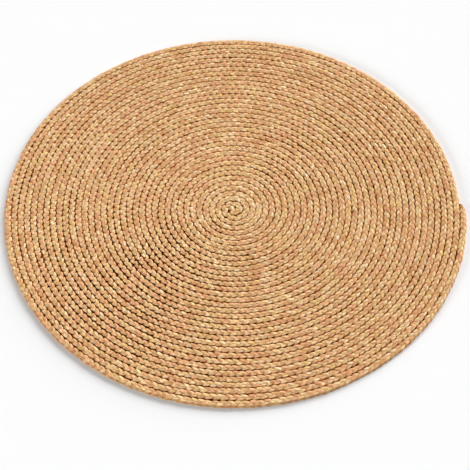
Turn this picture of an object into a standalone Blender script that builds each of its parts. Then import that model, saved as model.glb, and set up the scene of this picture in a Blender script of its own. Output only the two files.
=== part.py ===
"""A round jute rug: one long flat braid coiled outwards from its middle and sewn edge to edge.

Units are metres and +Z is up. The origin is the middle of the coil, on the floor that the rug
lies on. The coil runs outwards anticlockwise seen from above, and its outer end is near +X.
The rug is one solid: its underside is flat, and each turn of the braid is a rib on its top.
"""

import math

import bmesh
import bpy

RUG_NAME = "round_jute_rug"
NODE_NAME = "braided_rug"

# Driving sizes
PITCH = 0.0166
TURNS = 36
THICKNESS = 0.0090
GROOVE_DEPTH = 0.0038
FOOT_INSET = 0.0022
END_ANGLE = math.radians(1.2)
END_SLANT = math.radians(1.6)

# The braid starts half a turn out, and the first groove runs back to the middle beside it
START_TURN = 0.5
COIL_OFFSET = -0.03

# The inner turns lean to one side, less with each turn
LEAN = 0.25
LEAN_FADE_TURNS = 4.0
LEAN_ANGLE = math.radians(262.0)

# How many turns at the rim share its unevenness
UNEVEN_TURNS = 3.0

# Points around one turn
STEPS = 60

# Columns: turns from the middle, and how far the braid lies outside an even coil, in pitches
HOOK = (
    (0.500, 0.25),
    (0.625, 0.02),
    (0.750, -0.14),
    (0.875, -0.10),
    (1.000, -0.05),
    (1.125, -0.20),
    (1.250, -0.33),
    (1.375, -0.16),
    (1.500, 0.03),
)

# Columns: turns from the middle, and the radius of the first groove, in pitches
FIRST_GROOVE = (
    (0.00, 0.40),
    (0.18, 0.30),
    (0.35, 0.58),
    (0.42, 0.84),
    (0.50, 1.11),
)

# Columns: part of a turn from the braid's outer end, and how far the rim stands out, in pitches
RIM_UNEVENNESS = (
    (0.00, -0.05),
    (0.15, 0.03),
    (0.30, -0.13),
    (0.40, 0.01),
    (0.54, 0.00),
    (0.62, 0.10),
    (0.70, 0.24),
    (0.78, 0.24),
    (0.86, 0.08),
    (0.94, 0.02),
    (1.00, -0.05),
)

# Colour of dry jute, linear
JUTE_COLOUR = (0.61, 0.35, 0.16, 1.0)
JUTE_ROUGHNESS = 0.9


def smoothstep(share):
    """0 to 1 with level ends."""
    share = min(max(share, 0.0), 1.0)
    return share * share * (3.0 - 2.0 * share)


def between_rows(rows, place):
    """The second column of rows at this place in the first, eased from row to row."""
    if place <= rows[0][0]:
        return rows[0][1]
    for (start, low), (end, high) in zip(rows, rows[1:]):
        if place <= end:
            return low + (high - low) * smoothstep((place - start) / (end - start))
    return rows[-1][1]


def crest_radius(turn):
    """Radius of the middle of the braid, this many turns out."""
    if turn < HOOK[-1][0]:
        extra = between_rows(HOOK, turn)
    else:
        fade = math.exp((HOOK[-1][0] - turn) / LEAN_FADE_TURNS)
        extra = LEAN * fade * math.cos(2.0 * math.pi * turn - LEAN_ANGLE)
    at_rim = smoothstep((turn - TURNS + UNEVEN_TURNS) / UNEVEN_TURNS)
    extra += at_rim * between_rows(RIM_UNEVENNESS, turn % 1.0)
    return PITCH * (turn + COIL_OFFSET + extra)


def groove_radius(turn):
    """Radius of the groove outside the braid, this many turns out, and of the rim on the last turn."""
    if turn < START_TURN:
        return PITCH * between_rows(FIRST_GROOVE, turn)
    if turn <= TURNS - 1:
        return 0.5 * (crest_radius(turn) + crest_radius(turn + 1))
    return crest_radius(turn) + 0.5 * PITCH


def point(turn, radius, height):
    angle = 2.0 * math.pi * turn + END_ANGLE
    return (radius * math.cos(angle), radius * math.sin(angle), height)


def braid_section(turn):
    """The three points across the braid's top: inner groove, crest and outer groove or rim."""
    groove_height = THICKNESS - GROOVE_DEPTH
    inner_turn = turn - 1 if turn >= 1 else 1 - turn
    slant = END_SLANT / (2.0 * math.pi) if turn == TURNS else 0.0
    inner = point(inner_turn, groove_radius(inner_turn), groove_height)
    crest = point(turn - 0.5 * slant, crest_radius(turn), THICKNESS)
    outer = point(turn - slant, groove_radius(turn), groove_height)
    return inner, crest, outer


def wind_top(mesh):
    """The ribbed top: a long flat grid, two faces wide, wound into the coil and joined to itself."""
    columns = round((TURNS - START_TURN) * STEPS)
    bmesh.ops.create_grid(mesh, x_segments=columns, y_segments=2, size=1.0)
    for vert in mesh.verts:
        column = round((vert.co.x + 1.0) / 2.0 * columns)
        row = round(vert.co.y + 1.0)
        vert.co = braid_section(START_TURN + column / STEPS)[row]
    bmesh.ops.remove_doubles(mesh, verts=mesh.verts, dist=1e-5)


def close_underside(mesh):
    """The rim's wall, down and a little inwards to the floor, and the flat underside."""
    rim = [edge for edge in mesh.edges if edge.is_boundary]
    made = bmesh.ops.extrude_edge_only(mesh, edges=rim)["geom"]
    for vert in made:
        if isinstance(vert, bmesh.types.BMVert):
            radius = math.hypot(vert.co.x, vert.co.y)
            inwards = (radius - FOOT_INSET) / radius
            vert.co = (vert.co.x * inwards, vert.co.y * inwards, 0.0)
    foot = [edge for edge in mesh.edges if edge.is_boundary]
    bmesh.ops.contextual_create(mesh, geom=foot)
    bmesh.ops.recalc_face_normals(mesh, faces=mesh.faces)
    for face in mesh.faces:
        face.smooth = True


def crease_grooves(mesh):
    """Creases along the grooves, so that each turn of the braid is shaded as a round rib."""
    groove_height = THICKNESS - GROOVE_DEPTH
    for edge in mesh.edges:
        lowest = min(vert.co.z for vert in edge.verts)
        highest = max(vert.co.z for vert in edge.verts)
        in_groove = abs(highest - groove_height) < 1e-6 and abs(lowest - groove_height) < 1e-6
        edge.smooth = not (in_groove or highest < 1e-6)


def jute_material():
    material = bpy.data.materials.new("jute")
    material.use_nodes = True
    shader = material.node_tree.nodes["Principled BSDF"]
    shader.inputs["Base Color"].default_value = JUTE_COLOUR
    shader.inputs["Roughness"].default_value = JUTE_ROUGHNESS
    shader.inputs["Metallic"].default_value = 0.0
    material.diffuse_color = JUTE_COLOUR
    return material


def braided_rug(collection):
    """The coiled braid, sewn flat, as one solid."""
    coil = bmesh.new()
    wind_top(coil)
    close_underside(coil)
    crease_grooves(coil)
    mesh = bpy.data.meshes.new(NODE_NAME)
    coil.to_mesh(mesh)
    coil.free()
    mesh.materials.append(jute_material())
    rug = bpy.data.objects.new(NODE_NAME, mesh)
    collection.objects.link(rug)


def clear_scene():
    for old in list(bpy.data.objects):
        bpy.data.objects.remove(old, do_unlink=True)


def main():
    clear_scene()
    collection = bpy.data.collections.new(RUG_NAME)
    bpy.context.scene.collection.children.link(collection)
    braided_rug(collection)


main()
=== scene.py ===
"""The round jute rug as it looks: three jute strands plaited flat and wound into the coil.

The braid repeats the formulas of the solid rug, so the plait fills the solid's ribs. Only its first
groove, and the grooves of some turns at one side, lie a little elsewhere. Each strand is a tube of
five twisted yarns. It is two pieces, one for the inner turns and one for the outer turns, because
a whole strand would be too large a mesh.
"""

import math
from types import SimpleNamespace

import bpy
import numpy as np
from mathutils import Matrix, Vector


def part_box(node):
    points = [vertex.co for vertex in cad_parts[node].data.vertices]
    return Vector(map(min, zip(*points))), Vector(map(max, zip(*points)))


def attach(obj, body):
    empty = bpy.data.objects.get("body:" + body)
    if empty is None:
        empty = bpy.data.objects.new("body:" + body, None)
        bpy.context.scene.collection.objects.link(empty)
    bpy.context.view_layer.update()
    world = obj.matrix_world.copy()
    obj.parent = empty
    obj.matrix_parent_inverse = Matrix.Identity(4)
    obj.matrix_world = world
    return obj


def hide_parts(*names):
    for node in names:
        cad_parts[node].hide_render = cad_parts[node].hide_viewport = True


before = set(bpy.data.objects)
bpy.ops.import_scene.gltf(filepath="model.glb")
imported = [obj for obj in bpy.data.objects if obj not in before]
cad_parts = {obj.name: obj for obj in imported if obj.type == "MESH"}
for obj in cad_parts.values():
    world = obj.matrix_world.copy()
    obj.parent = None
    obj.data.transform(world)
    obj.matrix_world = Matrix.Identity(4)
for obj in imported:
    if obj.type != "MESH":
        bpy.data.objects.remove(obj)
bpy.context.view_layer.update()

NODE = "braided_rug"

# The coil, as the solid rug has it: the width of a turn, how many there are, the direction of the
# braid's outer end, the turn where it starts, and how far it lies outside an even coil, in pitches
PITCH = 0.0166
TURNS = 36
END_ANGLE = math.radians(1.2)
START_TURN = 0.5
COIL_OFFSET = -0.03

# The inner turns lean to one side, less with each turn
LEAN = 0.25
LEAN_FADE_TURNS = 4.0
LEAN_ANGLE = math.radians(262.0)

# How many turns at the rim share its unevenness
UNEVEN_TURNS = 3.0

# Columns: turns from the middle, and how far the braid lies outside an even coil, in pitches
HOOK = (
    (0.500, 0.25),
    (0.625, 0.02),
    (0.750, -0.14),
    (0.875, -0.10),
    (1.000, -0.05),
    (1.125, -0.20),
    (1.250, -0.33),
    (1.375, -0.16),
    (1.500, 0.03),
)

# Columns: turns from the middle, and the radius of the first groove, in pitches. The solid rug's
# first groove is plainer, and within a third of a pitch of this one.
FIRST_GROOVE = (
    (-0.09, 0.52),
    (0.12, 0.27),
    (0.24, 0.32),
    (0.34, 0.62),
    (0.45, 0.84),
    (0.575, 1.03),
    (0.70, 1.32),
    (0.77, 1.46),
    (0.86, 1.46),
    (0.95, 1.40),
)

# Grooves that lie further in than the solid rug's: how far, in pitches, and where this starts, is
# full and ends again, in turns from the middle and in parts of a turn from the braid's outer end
GROOVES_INWARD = 0.20
INWARD_TURNS = (10.0, 16.0, 25.0, 30.0)
INWARD_PARTS = (0.62, 0.73, 0.79, 0.88)

# Columns: part of a turn from the braid's outer end, and how far the rim stands out, in pitches
RIM_UNEVENNESS = (
    (0.00, -0.05),
    (0.15, 0.03),
    (0.30, -0.13),
    (0.40, 0.01),
    (0.54, 0.00),
    (0.62, 0.10),
    (0.70, 0.24),
    (0.78, 0.24),
    (0.86, 0.08),
    (0.94, 0.02),
    (1.00, -0.05),
)

# The braid's ends: where its mesh starts and stops, the lengths over which they round off, and how
# thick the strands are at the very ends, as shares of their full thickness
FIRST_TURN = START_TURN + 0.012
LAST_TURN = TURNS + 0.5 / 360.0
START_TAPER = 0.007
START_THICKNESS = 0.85
END_TAPER = 0.038
END_THICKNESS = 0.15

# The plait. Strands swing from side to side, more bluntly than a sine, and pass over and under each
# other, with the dive late in its half period.
STRANDS = 3
PERIOD = 3.09 * PITCH
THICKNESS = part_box(NODE)[1][2]
SIDE_SWING = 0.0037
SWING_BLUNTNESS = 0.50
OVER_SWING = 0.0002
UNDER_SWING = 0.0024
DIVE_SKEW = 1.5
STEPS_A_PERIOD = 12
ROUTE_POINTS = 60001

# The hook is narrower than the rest of the braid. These are the least widths, in pitches, that set
# the period there and the strands' size.
LEAST_PERIOD_WIDTH = 0.8
LEAST_STRAND_WIDTH = 0.35

# Sections of a strand lie straight across the braid up to the first of these turns, and from the
# second on they are square to the strand
RULED_TURNS = (1.5, 2.5)

# The turn where each strand is cut into its two pieces
SPLIT_TURN = 26

# A strand's section, as halves of its width and depth: where it crosses the braid, and where it
# turns back at the braid's edge. The power keeps the second near the edge.
HALF_WIDTH = 0.0051
HALF_DEPTH = 0.0035
EDGE_HALF_WIDTH = 0.0046
EDGE_HALF_DEPTH = 0.0038
EDGE_POWER = 4

# How much wider a strand spreads underneath, how square its section is, how far it rolls, and how
# its lowest part is pressed together over the floor
UNDER_SPREAD = 0.0014
SQUARENESS = 5.5
ROLL = 0.06
FLOOR_GAP = 0.0002
FLATTENED = 0.0013

# The yarns in a strand and the plies that they are twisted from, the corners of its tube, how deep
# the furrows between yarns are, as a share of the section, and the length of one twist
YARNS = 5
PLIES = 2 * YARNS
SIDES = 2 * YARNS
CORNER_ANGLES = 2.0 * math.pi * np.arange(SIDES) / SIDES
YARN_RELIEF = 0.08
YARN_TWIST = -0.16

# Where shade is painted on a strand as part of a groove: in from the nearer face, in halves of the
# braid's thickness, and out from its middle, in halves of its width
GROOVE_SHADE_DEPTH_SPAN = (0.30, 0.60)
GROOVE_SHADE_SIDE_SPAN = (0.42, 0.78)

# How dark the painted shade is inside the braid and at the rim, against that of a groove between
# turns, how much lighter where strands turn back, and how much darker for each 1 of openness, which
# counts within limits
PAINTED_SHADE_BETWEEN_STRANDS = 0.8
RIM_PAINTED_SHADE = 0.2
EDGE_LESS_PAINTED_SHADE = 0.45
OPEN_MORE_PAINTED_SHADE = 0.3
OPENNESS_LIMITS = (-2.0, 5.0)

# Where a painted highlight makes a strand paler, along the shoulders of the braid: out from the
# braid's middle, and in from the nearer face, in the same measures
PAINTED_HIGHLIGHT_SPAN = (0.10, 0.38)
PAINTED_HIGHLIGHT_DEPTH_SPAN = (0.25, 0.60)

# The innermost turns are wound tighter, with more even grooves that get less painted shade: up to
# where, how much wider the strands are, how much less painted shade the grooves get and how much of
# their opening is lost
TIGHT_TURNS = (3.0, 14.0)
TIGHTNESS = 0.02
TIGHT_LESS_PAINTED_SHADE = 0.1
TIGHT_EVENED = 0.5

# Columns: turns from the middle, and how much more painted shade the groove inside the braid gets there
HOOK_MORE_PAINTED_SHADE = (
    (0.58, 0.0),
    (0.68, 0.9),
    (1.25, 0.9),
    (1.38, 0.0),
)

# How uneven the plait is, and over what length: in its period, sideways, in how open its grooves
# are and in how thick its strands are
SEED = 24
SLIP = 0.0016
SLIP_LENGTH = 0.11
SWAY = 0.00035
SWAY_LENGTH = 0.03
LOOSE_SPREAD = 0.5
LOOSE_LENGTH = 0.12
SWELL = 0.06
SWELL_LENGTH = 0.022

# Pale flecks, placed by a seeded draw
FLECKS_A_STRAND = 9

# Columns: part of a turn from the braid's outer end, and how open the grooves are there
OPENNESS = (
    (0.00, 0.5),
    (0.06, 1.9),
    (0.12, 2.1),
    (0.20, 0.2),
    (0.29, -0.5),
    (0.37, -0.6),
    (0.44, -0.1),
    (0.50, 0.0),
    (0.55, 1.6),
    (0.60, 4.6),
    (0.645, 4.2),
    (0.70, 2.0),
    (0.79, 0.4),
    (0.87, 0.6),
    (0.95, 0.2),
    (1.00, 0.5),
)

# How wide a groove gapes for each 1 of openness, as a share of the braid's width
LOOSENESS = 0.014

# In the outermost turns the grooves open less: where this starts, where it ends and how much is lost
EVEN_TURNS = (27.0, 33.0)
EVENED = 0.45

# How long the streaks of one tone are, and the size of the fibres
PLY_HUE_LENGTH = 0.020
PLY_SHADE_LENGTH = 0.012
STRAND_HUE_LENGTH = 0.030
LONG_SHADE_LENGTH = 0.040
FIBRE_WIDTH = 0.0006
FIBRE_LENGTH = 0.012

# Places in the noise that the streaks are drawn from. Strands, plies and tones lie apart in it.
STRAND_SPACING = 100.0
PLY_SPACING = 7.3
WHOLE_STRAND_PLACE = 3.5
PALE_LAYER = 0.5
ROSY_STRAND_LAYER = 9.5
ROSY_PLY_LAYER = 20.5
PLY_SHADE_LAYER = 40.5
LONG_SHADE_LAYER = 60.5

# The part of the noise's range that becomes a streak's 0 to 1, and how fine the fibres' noise is
NOISE_RANGE = (0.30, 0.70)
FIBRE_DETAIL = 2.0
FIBRE_ROUGHNESS = 0.6

# Colours of jute, linear
GOLDEN_STRAW = (0.728, 0.480, 0.195, 1.0)
PALE_CREAM = (0.739, 0.524, 0.319, 1.0)
ROSY_TAN = (0.674, 0.356, 0.181, 1.0)
PALE_FLECK = (0.90, 0.84, 0.76, 1.0)

# How rosy a strand is counts this many times as much as how rosy a ply is, and over this range their
# sum turns the colour rosy. Along this much of each strand from its inner end, less of it is rosy:
# this is taken off the sum at the end itself.
STRAND_ROSY_WEIGHT = 2.0
ROSY_RANGE = (0.7, 2.5)
GOLDEN_LENGTH = 2.0
LESS_ROSY = 0.8

# How dark and how light each thing makes the jute: streaks along plies, long streaks, fibres over
# the middle of their noise, painted shade in the seams between plies, and the painted highlight on
# the braid's shoulders
PLY_SHADES = (0.86, 1.09)
LONG_SHADES = (0.94, 1.06)
FIBRE_RANGE = (0.25, 0.75)
FIBRE_SHADES = (0.84, 1.16)
SEAM_PAINTED_SHADE_SPAN = (0.25, 0.5)
SEAM_PAINTED_SHADE = 0.78
OFF_HIGHLIGHT_SHADE = 0.89
PAINTED_HIGHLIGHT_LIGHTER = 0.18

# Darker jute is also richer in colour: powers of its shade for red, green and blue
SHADE_POWERS = (1.0, 1.4, 2.0)
# Painted shade in the grooves: its powers for red, green and blue, its darkest, and how it eases in
GROOVE_SHADE_POWERS = (1.0, 1.9, 3.2)
GROOVE_SHADE_DARKNESS = 0.98
GROOVE_SHADE_EASE = 1.2

# The fine relief of plies and fibres, and how matt the fibres are
PLY_RELIEF = 1.2
RELIEF_HEIGHT = 0.0003
MATT_RANGE = (0.2, 0.8)
ROUGHNESSES = (0.68, 0.88)
SPECULAR_LEVEL = 0.03

# A strand's flat map: the rows that its side is cut into, and the places and size of its two ends
MAP_ROWS = 40
MAP_END_PLACES = (0.25, 0.75)
MAP_END_HALF_WIDTH = 0.01
MAP_END_HALF_HEIGHT = 0.4

# The sockets of a mix node that it uses for colours
MIX_SHARE, MIX_FIRST, MIX_SECOND = 0, 6, 7
MIX_RESULT = 2


def smoothstep(share):
    """0 to 1 with level ends."""
    share = np.clip(share, 0.0, 1.0)
    return share * share * (3.0 - 2.0 * share)


def between(places, span):
    """0 before this span, 1 after it, and eased between."""
    first, last = span
    return smoothstep((places - first) / (last - first))


def within(places, stops):
    """1 between the middle two of these four stops, eased to 0 at the outer two."""
    return between(places, stops[:2]) * (1.0 - between(places, stops[2:]))


def between_rows(rows, places):
    """The second column of rows at these places in the first, eased from row to row."""
    found = np.full(len(places), rows[0][1], dtype=float)
    for (start, low), (end, high) in zip(rows, rows[1:]):
        eased = low + (high - low) * smoothstep((places - start) / (end - start))
        found = np.where(places > start, eased, found)
    return found


def grown(least, share):
    """From this least size up to 1, by a share from 0 to 1."""
    return least + (1.0 - least) * share


def crest_radius(turns):
    """Radius of the middle of the braid, this many turns out."""
    hook = between_rows(HOOK, turns)
    fade = np.exp((HOOK[-1][0] - turns) / LEAN_FADE_TURNS)
    lean = LEAN * fade * np.cos(2.0 * math.pi * turns - LEAN_ANGLE)
    extra = np.where(turns < HOOK[-1][0], hook, lean)
    at_rim = smoothstep((turns - TURNS + UNEVEN_TURNS) / UNEVEN_TURNS)
    extra = extra + at_rim * between_rows(RIM_UNEVENNESS, turns % 1.0)
    return PITCH * (turns + COIL_OFFSET + extra)


def groove_radius(turns):
    """Radius of the groove outside the braid, this many turns out, and of the rim on the last turn."""
    first = PITCH * between_rows(FIRST_GROOVE, turns)
    halfway = 0.5 * (crest_radius(turns) + crest_radius(turns + 1.0))
    inward = within(turns, INWARD_TURNS) * within(turns % 1.0, INWARD_PARTS)
    halfway = halfway - GROOVES_INWARD * PITCH * inward
    rim = crest_radius(turns) + 0.5 * PITCH
    return np.where(turns < FIRST_GROOVE[-1][0], first, np.where(turns <= TURNS - 1.0, halfway, rim))


def on_groove(turns):
    """Places on the groove, this many turns out."""
    angle = 2.0 * math.pi * turns + END_ANGLE
    return groove_radius(turns)[:, None] * np.column_stack([np.cos(angle), np.sin(angle)])


def inner_groove(turns):
    """Where on the groove the braid's inner edge lies: it runs in to the hook's tip and out again."""
    tip = FIRST_GROOVE[0][0]
    way_in = START_TURN + (turns - START_TURN) * (tip - START_TURN) / (1.0 + tip - START_TURN)
    return np.where(turns < 1.0 + tip, way_in, turns - 1.0)


def drift(rng, along, spacing):
    """Smooth unevenness of about 1, with a new random value at each spacing along the braid."""
    knots = np.arange(0.0, along[-1] + 2.0 * spacing, spacing)
    values = rng.normal(0.0, 1.0, len(knots))
    place = along / spacing
    row = place.astype(int)
    ease = smoothstep(place - row)
    return values[row] * (1.0 - ease) + values[row + 1] * ease


def rounded_end(distance, length):
    """0 at an end of the braid, rounded up to 1 at this length from it."""
    return np.sqrt(1.0 - (1.0 - np.clip(distance / length, 0.0, 1.0)) ** 2)


def unit(vectors):
    """The same ways, each 1 long."""
    return vectors / np.linalg.norm(vectors, axis=1)[:, None]


def lengths_along(points):
    """How far along a line of points each one lies."""
    steps = np.linalg.norm(np.diff(points, axis=0), axis=1)
    return np.concatenate([[0.0], np.cumsum(steps)])


def braid_route():
    """Evenly spaced stations along the braid: distance, turn, middle, way outwards and width."""
    turns = np.linspace(FIRST_TURN, LAST_TURN, ROUTE_POINTS)
    inner = on_groove(inner_groove(turns))
    outer = on_groove(turns)
    middle = 0.5 * (inner + outer)
    distance = lengths_along(middle)
    along = np.linspace(0.0, distance[-1], round(distance[-1] / PERIOD * STEPS_A_PERIOD) + 1)
    columns = np.column_stack([turns, middle, outer - inner])
    even = np.column_stack([np.interp(along, distance, column) for column in columns.T])
    across = even[:, 3:]
    return along, even[:, 0], even[:, 1:3], unit(across), np.linalg.norm(across, axis=1)


def plan_braid():
    """The braid's route, and what its three strands share at each station along it."""
    along, turns, middle, outwards, width = braid_route()
    rng = np.random.default_rng(SEED)
    slip = SLIP * drift(rng, along, SLIP_LENGTH)
    scale = np.maximum(width / PITCH, LEAST_STRAND_WIDTH)
    pace = np.gradient(along + slip) / np.maximum(scale, LEAST_PERIOD_WIDTH)
    tight = 1.0 - between(turns, TIGHT_TURNS)
    evened = EVENED * between(turns, EVEN_TURNS) + TIGHT_EVENED * tight
    outer_open = between_rows(OPENNESS, turns % 1.0) * (1.0 - evened)
    outer_open = outer_open + LOOSE_SPREAD * drift(rng, along, LOOSE_LENGTH)
    inner_open = np.interp(turns - 1.0, turns, outer_open)
    outer_gap = 0.5 * LOOSENESS * outer_open
    inner_gap = 0.5 * LOOSENESS * inner_open
    return SimpleNamespace(
        along=along,
        turns=turns,
        middle=middle,
        outwards=outwards,
        width=width,
        periods=np.cumsum(pace) / PERIOD,
        scale=scale * (1.0 + TIGHTNESS * tight - (outer_gap + inner_gap)),
        shift=0.5 * PITCH * (outer_gap - inner_gap),
        start=rounded_end(along, START_TAPER),
        end=rounded_end(along[-1] - along, END_TAPER),
        tight=tight,
        outer_open=outer_open,
        inner_open=inner_open,
    )


def strand_line(braid, phase, rng):
    """A strand's middle line, how far it swings out from the braid's, and how low it passes."""
    sine = np.sin(phase)
    blunt = np.sign(sine) * np.abs(sine) ** SWING_BLUNTNESS
    swing = braid.scale * braid.end * SIDE_SWING * blunt + SWAY * drift(rng, braid.along, SWAY_LENGTH)
    swing -= braid.scale * (1.0 - braid.end) * 0.5 * PITCH + braid.shift
    crossing = 2.0 * (phase / math.pi % 1.0)
    under = np.where(crossing < 1.0, np.sin(math.pi * np.minimum(crossing, 1.0) ** DIVE_SKEW), 0.0)
    over = np.where(crossing > 1.0, -np.sin(math.pi * crossing), 0.0)
    height = THICKNESS / 2.0 + braid.end * (OVER_SWING * over - UNDER_SWING * under)
    centre = np.column_stack([braid.middle + braid.outwards * swing[:, None], height])
    return centre, swing, 0.5 + 0.5 * (under - over)


def section_ways(braid, centre):
    """The ways across and up in which a strand's sections are set out."""
    heading = unit(np.gradient(centre, axis=0))
    square = unit(np.cross(heading, (0.0, 0.0, 1.0)))
    straight = np.column_stack([braid.outwards, np.zeros(len(centre))])
    ruled = 1.0 - between(braid.turns, RULED_TURNS)
    across = unit(square + ruled[:, None] * (straight - square))
    return across, unit(np.cross(across, heading))


def squared(values):
    """Turns the cosine or sine of a circle into that of a rounded rectangle."""
    return np.sign(values) * np.abs(values) ** (2.0 / SQUARENESS)


def pressed_flat(height):
    """Heights with those near the floor pressed together just above it."""
    low = FLOOR_GAP + FLATTENED
    return np.where(height < low, FLOOR_GAP + FLATTENED * np.exp((height - low) / FLATTENED), height)


def nearness_to_edge(phase):
    """1 where a strand turns back at the braid's edge, and 0 where it crosses the braid's middle."""
    return np.sin(phase) ** EDGE_POWER


def strand_surface(braid, phase, centre, lowness, rng):
    """The rings of points round a strand, and how far sideways of its middle line each one lies."""
    at_edge = nearness_to_edge(phase)
    swell = 1.0 + SWELL * drift(rng, braid.along, SWELL_LENGTH)
    swell = swell * grown(END_THICKNESS, braid.end) * grown(START_THICKNESS, braid.start)
    half_width = HALF_WIDTH + (EDGE_HALF_WIDTH - HALF_WIDTH) * at_edge
    half_width = braid.scale * swell * (half_width + UNDER_SPREAD * lowness**2)
    half_depth = swell * (HALF_DEPTH + (EDGE_HALF_DEPTH - HALF_DEPTH) * at_edge)
    turned = CORNER_ANGLES + 2.0 * math.pi * braid.along[:, None] / YARN_TWIST
    reach = 1.0 - YARN_RELIEF * (np.arange(SIDES) % 2)
    sideways = half_width[:, None] * reach * squared(np.cos(turned))
    lift = half_depth[:, None] * reach * squared(np.sin(turned))
    across, upward = section_ways(braid, centre)
    points = (
        centre[:, None, :]
        + across[:, None, :] * sideways[:, :, None]
        + upward[:, None, :] * lift[:, :, None]
    )
    points[:, :, 2] -= ROLL * np.sin(phase)[:, None] * sideways
    points[:, :, 2] = pressed_flat(points[:, :, 2])
    return points, sideways


def painted_groove_shade_and_highlight(braid, phase, offset, height):
    """How much shade is painted on each point as part of a groove, and how much painted highlight it
    gets.
    """
    at_edge = nearness_to_edge(phase)
    from_face = 1.0 - np.abs(2.0 * height / THICKNESS - 1.0)
    at_side = between(np.abs(offset), GROOVE_SHADE_SIDE_SPAN)
    exposed = (braid.turns[:, None] > TURNS - 1.0) & (offset > 0.0)
    openness = np.where(offset > 0.0, braid.outer_open[:, None], braid.inner_open[:, None])
    hook_more_painted_shade = between_rows(HOOK_MORE_PAINTED_SHADE, braid.turns)
    # Painted shade in the grooves between turns and between strands, deeper down and nearer the sides
    painted_groove_shade = between(from_face, GROOVE_SHADE_DEPTH_SPAN) * grown(PAINTED_SHADE_BETWEEN_STRANDS, at_side)
    painted_groove_shade = painted_groove_shade * np.where(exposed, RIM_PAINTED_SHADE, 1.0) * (1.0 - EDGE_LESS_PAINTED_SHADE * at_edge[:, None])
    painted_groove_shade = painted_groove_shade * (1.0 + OPEN_MORE_PAINTED_SHADE * np.clip(openness, *OPENNESS_LIMITS))
    painted_groove_shade = painted_groove_shade * (1.0 - TIGHT_LESS_PAINTED_SHADE * braid.tight[:, None])
    painted_groove_shade = painted_groove_shade * (1.0 + np.where(offset < 0.0, hook_more_painted_shade[:, None], 0.0))
    # Painted highlight: the braid's shoulders are made paler near the top face
    painted_highlight = between(np.abs(offset), PAINTED_HIGHLIGHT_SPAN) * (1.0 - between(from_face, PAINTED_HIGHLIGHT_DEPTH_SPAN))
    return painted_groove_shade, painted_highlight


def pale_flecks(number, height):
    """1 at a few stray points on top of this strand, and 0 elsewhere."""
    rng = np.random.default_rng(SEED + STRANDS + number)
    stations = rng.integers(0, len(height), FLECKS_A_STRAND)
    fleck = np.zeros(height.shape)
    fleck[stations, np.argmax(height[stations], axis=1)] = 1.0
    return fleck


def fibre_places(number, centre):
    """Places in the fibres: beside and over the strand's middle line, and along it."""
    places = np.empty((len(centre), SIDES, 3))
    places[:, :, 0] = np.cos(CORNER_ANGLES)
    places[:, :, 1] = np.sin(CORNER_ANGLES)
    places[:, :, 2] = lengths_along(centre)[:, None] + STRAND_SPACING * number
    return places


def strand_rings(number, braid):
    """One strand's tube, ring by ring: its points, painted groove shade, painted highlight, flecks and
    fibres.
    """
    rng = np.random.default_rng(SEED + number)
    phase = 2.0 * math.pi * (braid.periods + number / STRANDS)
    centre, swing, lowness = strand_line(braid, phase, rng)
    points, sideways = strand_surface(braid, phase, centre, lowness, rng)
    offset = (swing[:, None] + sideways) / (0.5 * braid.width[:, None])
    height = points[:, :, 2]
    painted_groove_shade, painted_highlight = painted_groove_shade_and_highlight(braid, phase, offset, height)
    return points, painted_groove_shade, painted_highlight, pale_flecks(number, height), fibre_places(number, centre)


def flat_map(count):
    """Corners of a tube's faces on its flat map: rows along the tube, and its two ends on a last row."""
    rings_a_row = math.ceil((count - 1) / MAP_ROWS)
    ring = np.arange(count - 1)[:, None]
    left = ring % rings_a_row / rings_a_row
    low = ring // rings_a_row + np.arange(SIDES) / SIDES
    right = left + 1.0 / rings_a_row
    high = low + 1.0 / SIDES
    left, right = np.broadcast_to(left, low.shape), np.broadcast_to(right, low.shape)
    across = np.stack([left, left, right, right], axis=2)
    up = np.stack([low, high, high, low], axis=2)
    sides = np.stack([across, up], axis=3).reshape(-1, 2)
    end_across = MAP_END_HALF_WIDTH * np.cos(CORNER_ANGLES)
    end_up = MAP_ROWS + 0.5 + MAP_END_HALF_HEIGHT * np.sin(CORNER_ANGLES)
    ends = [np.column_stack([place + end_across, end_up]) for place in MAP_END_PLACES]
    corners = np.concatenate([sides, *ends])
    corners[:, 1] /= MAP_ROWS + 1
    return corners


def tube_mesh(name, points, painted_groove_shade, painted_highlight, fleck, fibre):
    """A closed mesh tube from rings of points."""
    count = len(points)
    ring = np.arange(count - 1)[:, None] * SIDES
    corner = np.arange(SIDES)
    after = (corner + 1) % SIDES
    corners = [ring + corner, ring + after, ring + SIDES + after, ring + SIDES + corner]
    quads = np.stack(corners, axis=2).reshape(-1, 4).tolist()
    first = corner[::-1].tolist()
    last = ((count - 1) * SIDES + corner).tolist()
    mesh = bpy.data.meshes.new(name)
    mesh.from_pydata(points.reshape(-1, 3), [], [*quads, first, last])
    mesh.shade_smooth()
    for end in mesh.polygons[-2:]:
        end.use_smooth = False
    # Per point: the painted groove shade, the painted highlight on the shoulders, and the pale flecks
    for label, values in (("painted_groove_shade", painted_groove_shade), ("painted_highlight", painted_highlight), ("fleck", fleck)):
        mesh.attributes.new(label, "FLOAT", "POINT").data.foreach_set("value", values.ravel())
    mesh.attributes.new("fibre", "FLOAT_VECTOR", "POINT").data.foreach_set("vector", fibre.ravel())
    mesh.uv_layers.new(name="OFBake").uv.foreach_set("vector", flat_map(count).ravel())
    return mesh


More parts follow.
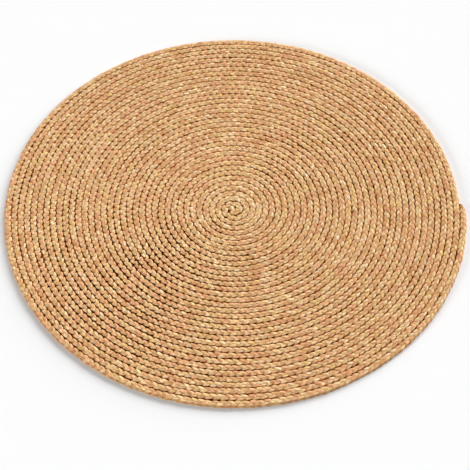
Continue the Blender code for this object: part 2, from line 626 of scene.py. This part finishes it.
class Nodes:
    """Short calls for building a material's nodes."""

    def __init__(self, material):
        material.use_nodes = True
        self.tree = material.node_tree
        self.shader = self.tree.nodes["Principled BSDF"]

    def put(self, socket, value):
        if isinstance(value, bpy.types.NodeSocket):
            self.tree.links.new(value, socket)
        else:
            socket.default_value = value

    def attribute(self, name, output):
        node = self.tree.nodes.new("ShaderNodeAttribute")
        node.attribute_name = name
        return node.outputs[output]

    def math(self, operation, *values):
        node = self.tree.nodes.new("ShaderNodeMath")
        node.operation = operation
        for socket, value in zip(node.inputs, values):
            self.put(socket, value)
        return node.outputs["Value"]

    def parts(self, vector):
        node = self.tree.nodes.new("ShaderNodeSeparateXYZ")
        self.put(node.inputs["Vector"], vector)
        return node.outputs["X"], node.outputs["Y"], node.outputs["Z"]

    def vector(self, *values):
        node = self.tree.nodes.new("ShaderNodeCombineXYZ")
        for socket, value in zip(node.inputs, values):
            self.put(socket, value)
        return node.outputs["Vector"]

    def noise(self, vector, detail=1.0, roughness=0.5):
        node = self.tree.nodes.new("ShaderNodeTexNoise")
        self.put(node.inputs["Vector"], vector)
        node.inputs["Scale"].default_value = 1.0
        node.inputs["Detail"].default_value = detail
        node.inputs["Roughness"].default_value = roughness
        return node.outputs["Fac"]

    def spread(self, value, low, high, to_low=0.0, to_high=1.0):
        node = self.tree.nodes.new("ShaderNodeMapRange")
        node.interpolation_type = "SMOOTHSTEP"
        names = ("Value", "From Min", "From Max", "To Min", "To Max")
        for name, number in zip(names, (value, low, high, to_low, to_high)):
            self.put(node.inputs[name], number)
        return node.outputs["Result"]

    def mix(self, share, first, second, blend="MIX"):
        node = self.tree.nodes.new("ShaderNodeMix")
        node.data_type = "RGBA"
        node.blend_type = blend
        self.put(node.inputs[MIX_SHARE], share)
        self.put(node.inputs[MIX_FIRST], first)
        self.put(node.inputs[MIX_SECOND], second)
        return node.outputs[MIX_RESULT]

    def darkened(self, colour, shade, powers):
        """A colour times a shade, raised to a power of its own for red, green and blue."""
        shades = self.vector(*(self.math("POWER", shade, power) for power in powers))
        return self.mix(1.0, colour, shades, "MULTIPLY")

    def bump(self, height, distance):
        node = self.tree.nodes.new("ShaderNodeBump")
        node.inputs["Distance"].default_value = distance
        self.put(node.inputs["Height"], height)
        return node.outputs["Normal"]


def fibre_noise(nodes, beside, over, along):
    """Fine fibres, long along the strand and thin across it."""
    across_fibres = HALF_WIDTH / FIBRE_WIDTH
    place = nodes.vector(
        nodes.math("MULTIPLY", beside, across_fibres),
        nodes.math("MULTIPLY", over, across_fibres),
        nodes.math("DIVIDE", along, FIBRE_LENGTH),
    )
    return nodes.noise(place, FIBRE_DETAIL, FIBRE_ROUGHNESS)


def jute_tone(nodes, along, streaks):
    """Golden, pale and rosy jute in streaks, and less of it rosy near the braid's inner end."""
    tone = nodes.mix(streaks(PLY_HUE_LENGTH, PALE_LAYER), GOLDEN_STRAW, PALE_CREAM)
    from_start = nodes.math("FLOORED_MODULO", along, STRAND_SPACING)
    less_rosy = nodes.spread(from_start, 0.0, GOLDEN_LENGTH, LESS_ROSY, 0.0)
    strand_rosy = streaks(STRAND_HUE_LENGTH, ROSY_STRAND_LAYER, WHOLE_STRAND_PLACE)
    ply_rosy = streaks(PLY_HUE_LENGTH, ROSY_PLY_LAYER)
    rosy = nodes.math("MULTIPLY_ADD", strand_rosy, STRAND_ROSY_WEIGHT, ply_rosy)
    rosy = nodes.math("SUBTRACT", rosy, less_rosy)
    return nodes.mix(nodes.spread(rosy, *ROSY_RANGE), tone, ROSY_TAN)


def jute_lightness_with_painted_light(nodes, fibre, from_ply, streaks):
    """How light the jute is, out of the grooves: streaks and fibres, with painted shade in the seams
    between plies and a painted highlight on the braid's shoulders.
    """
    shade = nodes.spread(streaks(PLY_SHADE_LENGTH, PLY_SHADE_LAYER), 0.0, 1.0, *PLY_SHADES)
    others = (
        nodes.spread(streaks(LONG_SHADE_LENGTH, LONG_SHADE_LAYER), 0.0, 1.0, *LONG_SHADES),
        nodes.spread(fibre, *FIBRE_RANGE, *FIBRE_SHADES),
        # Painted shade in the seams between plies, and the painted highlight on the braid's shoulders
        nodes.spread(from_ply, *SEAM_PAINTED_SHADE_SPAN, 1.0, SEAM_PAINTED_SHADE),
        nodes.math("MULTIPLY_ADD", nodes.attribute("painted_highlight", "Fac"), PAINTED_HIGHLIGHT_LIGHTER, OFF_HIGHLIGHT_SHADE),
    )
    for other in others:
        shade = nodes.math("MULTIPLY", shade, other)
    return shade


def jute_material():
    """Yarns of unlike tones side by side, made of fine fibres, with painted shade down in the grooves.
    """
    material = bpy.data.materials.new("jute_fibre")
    nodes = Nodes(material)
    beside, over, along = nodes.parts(nodes.attribute("fibre", "Vector"))
    angle = nodes.math("DIVIDE", nodes.math("ARCTAN2", over, beside), 2.0 * math.pi)
    ply = nodes.math("MULTIPLY", angle, float(PLIES))
    whole = nodes.math("FLOOR", ply)
    from_ply = nodes.math("ABSOLUTE", nodes.math("SUBTRACT", nodes.math("SUBTRACT", ply, whole), 0.5))
    number = nodes.math("FLOORED_MODULO", whole, float(PLIES))
    ply_place = nodes.math("MULTIPLY", number, PLY_SPACING)

    def streaks(length, layer, place=ply_place):
        """Values from 0 to 1 in streaks of this length, of each ply or of a whole strand."""
        noise = nodes.noise(nodes.vector(nodes.math("DIVIDE", along, length), place, layer))
        return nodes.spread(noise, *NOISE_RANGE)

    fibre = fibre_noise(nodes, beside, over, along)
    shade = jute_lightness_with_painted_light(nodes, fibre, from_ply, streaks)
    lit = nodes.darkened(jute_tone(nodes, along, streaks), shade, SHADE_POWERS)
    lit = nodes.mix(nodes.attribute("fleck", "Fac"), lit, PALE_FLECK)
    # Painted shade down in the grooves, richer in colour the darker it is
    painted_groove_shade = nodes.math("MINIMUM", nodes.attribute("painted_groove_shade", "Fac"), 1.0)
    painted_groove_shade = nodes.math("POWER", painted_groove_shade, GROOVE_SHADE_EASE)
    light_left = nodes.math("MULTIPLY_ADD", painted_groove_shade, -GROOVE_SHADE_DARKNESS, 1.0)
    colour = nodes.darkened(lit, light_left, GROOVE_SHADE_POWERS)
    roundness = nodes.spread(from_ply, 0.0, 0.5, 1.0, 0.0)
    relief = nodes.math("MULTIPLY_ADD", roundness, PLY_RELIEF, fibre)
    nodes.put(nodes.shader.inputs["Base Color"], colour)
    nodes.put(nodes.shader.inputs["Normal"], nodes.bump(relief, RELIEF_HEIGHT))
    nodes.put(nodes.shader.inputs["Roughness"], nodes.spread(fibre, *MATT_RANGE, *ROUGHNESSES))
    nodes.shader.inputs["Specular IOR Level"].default_value = SPECULAR_LEVEL
    return material


def build_strands():
    """The strands, as lists of the pieces of their inner and of their outer turns."""
    braid = plan_braid()
    split = int(np.searchsorted(braid.turns, SPLIT_TURN))
    material = jute_material()
    parts = {"inner": [], "outer": []}
    for number, letter in enumerate("abc"):
        rings = strand_rings(number, braid)
        for part, span in (("inner", slice(None, split + 1)), ("outer", slice(split, None))):
            name = f"strand_{letter}_{part}"
            mesh = tube_mesh(name, *(values[span] for values in rings))
            mesh.materials.append(material)
            strand = bpy.data.objects.new(name, mesh)
            bpy.context.scene.collection.objects.link(strand)
            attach(strand, "root")
            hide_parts(NODE)
            parts[part].append(strand)
    return parts["inner"], parts["outer"]


# The floor and the light that falls on it
FLOOR_SIZE = 40.0
FLOOR_ALBEDO = 0.8
FLOOR_BRIGHTNESS = 0.985

# Columns: name, the azimuth and elevation it comes from and how wide it is, all in degrees, and its
# share of the light
LIGHTS = (
    ("main_light", 66.0, 19.0, 36.0, 0.33),
    ("side_light", 31.0, 14.0, 28.0, 0.24),
    ("low_light", 213.0, 13.0, 16.0, 0.16),
)


def floor_material():
    """Plain pale paper, fully matt."""
    material = bpy.data.materials.new("pale_floor")
    material.use_nodes = True
    shader = material.node_tree.nodes["Principled BSDF"]
    shader.inputs["Base Color"].default_value = (FLOOR_ALBEDO, FLOOR_ALBEDO, FLOOR_ALBEDO, 1.0)
    shader.inputs["Roughness"].default_value = 1.0
    shader.inputs["Specular IOR Level"].default_value = 0.0
    return material


def build_floor():
    bpy.ops.mesh.primitive_plane_add(size=FLOOR_SIZE)
    floor = bpy.context.object
    floor.name = "floor"
    floor.data.materials.append(floor_material())
    return floor


def build_lights():
    """Soft lights from three sides, and a white sky with the rest of the light."""
    light_on_floor = FLOOR_BRIGHTNESS * math.pi / FLOOR_ALBEDO
    sky_share = 1.0
    for name, azimuth, elevation, width, share in LIGHTS:
        light = bpy.data.lights.new(name, "SUN")
        light.angle = math.radians(width)
        light.energy = share * light_on_floor / math.sin(math.radians(elevation))
        lamp = bpy.data.objects.new(name, light)
        lamp.rotation_euler = (0.0, math.radians(90.0 - elevation), math.radians(azimuth))
        bpy.context.scene.collection.objects.link(lamp)
        sky_share -= share
    world = bpy.data.worlds.new("studio")
    world.use_nodes = True
    background = world.node_tree.nodes["Background"]
    background.inputs["Color"].default_value = (1.0, 1.0, 1.0, 1.0)
    background.inputs["Strength"].default_value = sky_share * light_on_floor / math.pi
    bpy.context.scene.world = world


# The camera, fitted to the photo's coil and rim as seen at this height over the floor
CAMERA_ELEVATION = math.radians(53.373)
CAMERA_ROLL = 0.00197
CAMERA_DISTANCE = 5.021
CAMERA_SHIFT_RIGHT = -0.00215
CAMERA_SHIFT_UP = 0.06895
FOCAL_PIXELS = 1924.5
PHOTO_PIXELS = 470
SENSOR = 36.0
SEEN_HEIGHT = 0.006


def build_camera():
    tilt = Matrix.Rotation(math.pi / 2.0 - CAMERA_ELEVATION, 4, "X")
    roll = Matrix.Rotation(CAMERA_ROLL, 4, "Z")
    offset = Matrix.Translation((-CAMERA_SHIFT_RIGHT, -CAMERA_SHIFT_UP, CAMERA_DISTANCE))
    data = bpy.data.cameras.new("camera")
    data.sensor_width = SENSOR
    data.lens = FOCAL_PIXELS / PHOTO_PIXELS * SENSOR
    camera = bpy.data.objects.new("camera", data)
    camera.matrix_world = Matrix.Translation((0.0, 0.0, SEEN_HEIGHT)) @ tilt @ roll @ offset
    bpy.context.scene.collection.objects.link(camera)
    bpy.context.scene.camera = camera


def main():
    inner, outer = build_strands()
    floor = build_floor()
    build_lights()
    build_camera()
    bpy.context.scene.view_settings.view_transform = "Standard"


main()
